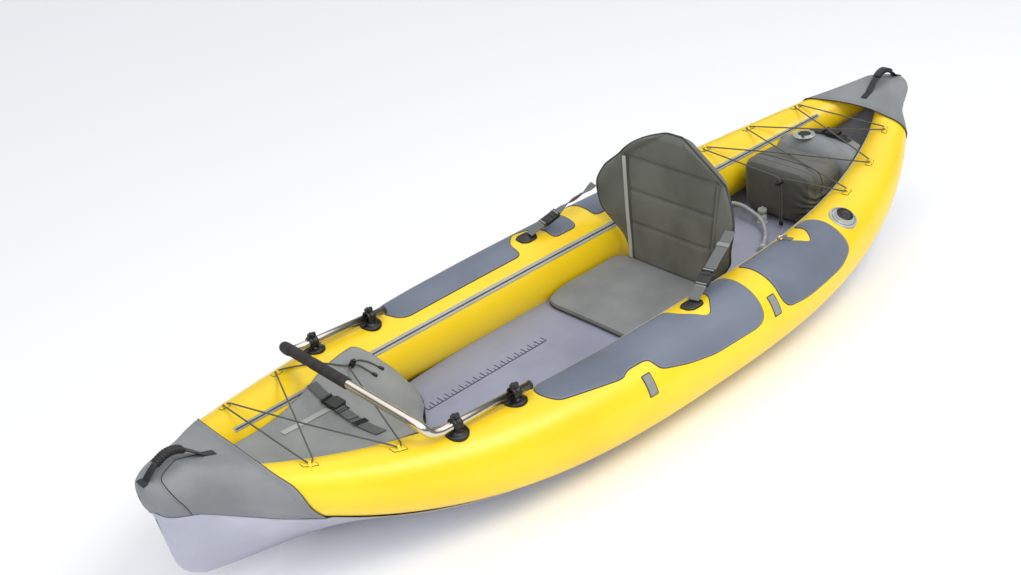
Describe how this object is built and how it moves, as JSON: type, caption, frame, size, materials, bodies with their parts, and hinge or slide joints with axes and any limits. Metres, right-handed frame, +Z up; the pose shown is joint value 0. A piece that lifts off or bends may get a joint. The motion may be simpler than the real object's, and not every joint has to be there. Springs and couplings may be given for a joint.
{
  "type": "inflatable fishing kayak",
  "caption": "Inflatable sit-in kayak with side tubes, pointed covered ends, a strapped folding seat, a metal accessory bar, bungee lacing and a stern bag.",
  "frame": {"origin": "amidships on the centre line, at the level of the flat part of the bottom", "axes": "+X towards the bow along the keel line, +Y to port, +Z up"},
  "size_m": [2.95, 0.93, 0.574],
  "materials": {
    "cover_fabric": "coated woven fabric",
    "yellow_fabric": "glossy coated fabric",
    "floor_fabric": "coated fabric",
    "strip_fabric": "coated fabric",
    "patch_fabric": "coated fabric",
    "padded_cloth": "woven cloth over padding",
    "webbing": "flat woven webbing",
    "black_webbing": "woven",
    "black_plastic": "moulded",
    "foam": "closed cell foam",
    "satin_metal": "satin tube",
    "steel_wire": "wire",
    "grey_plastic": "moulded"
  },
  "bodies": {
    "hull": {"hull_bottom": "cover_fabric", "floor_panel": "floor_fabric", "bow_cover": "cover_fabric", "stern_cover": "cover_fabric", "bow_handle": "black_webbing", "stern_handle": "black_webbing", "foot_brace": "cover_fabric", "foot_brace_strap": "webbing", "bow_lacing": "black_webbing", "bow_cord_lock": "black_plastic", "stern_bag": "padded_cloth", "thwart": "cover_fabric", "thwart_valve": "grey_plastic", "thwart_strap": "webbing", "stern_lacing": "black_webbing", "stern_cord_lock": "black_plastic", "floor_hose": "grey_plastic", "floor_valve": "grey_plastic", "seat_base": "padded_cloth", "tube_port": "yellow_fabric", "seam_strip_port": "strip_fabric", "wear_patch_front_port": "patch_fabric", "wear_patch_rear_port": "patch_fabric", "paddle_keeper_front_port": "webbing", "paddle_keeper_rear_port": "webbing", "clamp_base_front_port": "black_plastic", "clamp_base_rear_port": "black_plastic", "clamp_collar_front_port": "black_plastic", "clamp_collar_rear_port": "black_plastic", "valve_body_port": "grey_plastic", "strap_patch_port": "black_webbing", "buckle_socket_port": "black_plastic", "buckle_tongue_port": "black_plastic", "seat_strap_port": "webbing", "tube_starboard": "yellow_fabric", "seam_strip_starboard": "strip_fabric", "wear_patch_front_starboard": "patch_fabric", "wear_patch_rear_starboard": "patch_fabric", "paddle_keeper_front_starboard": "webbing", "paddle_keeper_rear_starboard": "webbing", "clamp_base_front_starboard": "black_plastic", "clamp_base_rear_starboard": "black_plastic", "clamp_collar_front_starboard": "black_plastic", "clamp_collar_rear_starboard": "black_plastic", "valve_body_starboard": "grey_plastic", "strap_patch_starboard": "black_webbing", "buckle_socket_starboard": "black_plastic", "buckle_tongue_starboard": "black_plastic", "seat_strap_starboard": "webbing"},
    "seat_back": {"seat_back": "padded_cloth"},
    "accessory_bar": {"accessory_bar": "satin_metal", "bar_sleeve": "foam", "bar_cap_port": "black_plastic", "bar_cap_starboard": "black_plastic"},
    "lashing_ring_port": {"lashing_ring_port": "steel_wire"},
    "lashing_ring_starboard": {"lashing_ring_starboard": "steel_wire"},
    "valve_plunger_port": {"valve_plunger_port": "black_plastic"},
    "valve_plunger_starboard": {"valve_plunger_starboard": "black_plastic"},
    "bow_lock_button": {"bow_lock_button": "black_plastic"},
    "stern_lock_button": {"stern_lock_button": "black_plastic"}
  },
  "joints": [
    {"name": "seat_back_fold", "type": "hinge", "parent": "hull", "child": "seat_back", "pos_m": [-0.2874, 0, 0.1383], "axis": [0, 1, 0], "range_deg": [0, 40], "deforming": ["seat_strap_port", "seat_strap_starboard"]},
    {"name": "accessory_bar_slide", "type": "slide", "parent": "hull", "child": "accessory_bar", "axis": [0.9981, 0, 0.0609], "range_m": [-0.018, 0.03]},
    {"name": "lashing_ring_port_swing", "type": "hinge", "parent": "hull", "child": "lashing_ring_port", "pos_m": [-0.46585, 0.29323, 0.27848], "axis": [-0.9968, -0.0762, 0.0242], "range_deg": [0, 90]},
    {"name": "lashing_ring_starboard_swing", "type": "hinge", "parent": "hull", "child": "lashing_ring_starboard", "pos_m": [-0.46585, -0.29323, 0.27848], "axis": [0.9968, -0.0762, -0.0242], "range_deg": [0, 90]},
    {"name": "valve_port_push", "type": "slide", "parent": "hull", "child": "valve_plunger_port", "axis": [0.0192, -0.4202, -0.9072], "range_m": [0, 0.004], "stiffness_N_per_m": 2000},
    {"name": "valve_starboard_push", "type": "slide", "parent": "hull", "child": "valve_plunger_starboard", "axis": [0.0192, 0.4202, -0.9072], "range_m": [0, 0.004], "stiffness_N_per_m": 2000},
    {"name": "bow_lock_push", "type": "slide", "parent": "hull", "child": "bow_lock_button", "axis": [0.2465, -0.4759, -0.8443], "range_m": [0, 0.003], "stiffness_N_per_m": 1500},
    {"name": "stern_lock_push", "type": "slide", "parent": "hull", "child": "stern_lock_button", "axis": [-1, 0, 0], "range_m": [0, 0.003], "stiffness_N_per_m": 1500}
  ]
}
